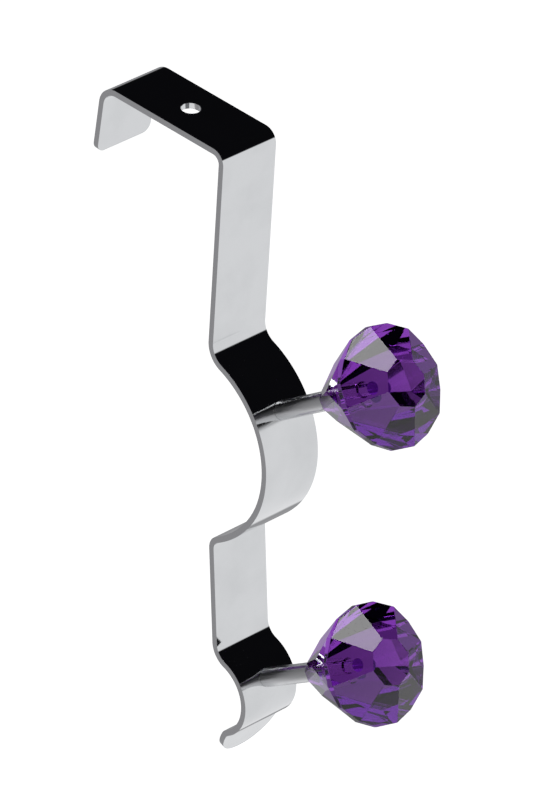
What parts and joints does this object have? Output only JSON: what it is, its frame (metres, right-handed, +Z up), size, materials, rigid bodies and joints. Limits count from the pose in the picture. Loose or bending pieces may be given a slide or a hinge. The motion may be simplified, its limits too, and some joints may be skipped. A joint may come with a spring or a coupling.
{
  "type": "over-door double hook",
  "caption": "Over-the-door hook: a bent chromed strap hooks over the door's top edge and carries a pair of upward pegs with faceted purple acrylic knobs.",
  "frame": {"origin": "centre of the screw hole, at the underside of the top plate, which rests on the door's top edge", "axes": "+Z up; -Y out of the door's front face, towards the knobs; +X across the strap, to the right of someone who looks along +Y at the knobs"},
  "size_m": [0.0312, 0.1094, 0.1723],
  "materials": {
    "chrome": "mirror-polished chrome plate on bent steel strip and tube",
    "steel": "bright zinc-plated screws and spring washers",
    "nickel": "nickel-plated threaded insert",
    "acrylic": "clear cast acrylic, deep purple, polished flat facets"
  },
  "bodies": {
    "root": {"strap": "chrome", "upper_sleeve": "chrome", "lower_sleeve": "chrome", "upper_lock_washer": "steel", "lower_lock_washer": "steel"},
    "upper_screw": {"upper_screw": "steel"},
    "upper_knob": {"upper_knob": "acrylic", "upper_insert": "nickel"},
    "lower_screw": {"lower_screw": "steel"},
    "lower_knob": {"lower_knob": "acrylic", "lower_insert": "nickel"}
  },
  "joints": [
    {"name": "upper_screw_turn", "type": "hinge", "parent": "root", "child": "upper_screw", "pos_m": [0, -0.03581, -0.06864], "axis": [0, 0.8192, -0.5736], "range_deg": [0, 5760]},
    {"name": "upper_knob_travel", "type": "slide", "parent": "root", "child": "upper_knob", "axis": [0, -0.8192, 0.5736], "range_m": [0, 0.008]},
    {"name": "lower_screw_turn", "type": "hinge", "parent": "root", "child": "lower_screw", "pos_m": [0, -0.03794, -0.14733], "axis": [0, 0.8387, -0.5446], "range_deg": [0, 5760]},
    {"name": "lower_knob_travel", "type": "slide", "parent": "root", "child": "lower_knob", "axis": [0, -0.8387, 0.5446], "range_m": [0, 0.008]}
  ],
  "couplings": [
    {"joint": "upper_screw_turn", "follows": "upper_knob_travel", "rad_per_m": 12566},
    {"joint": "lower_screw_turn", "follows": "lower_knob_travel", "rad_per_m": 12566}
  ]
}
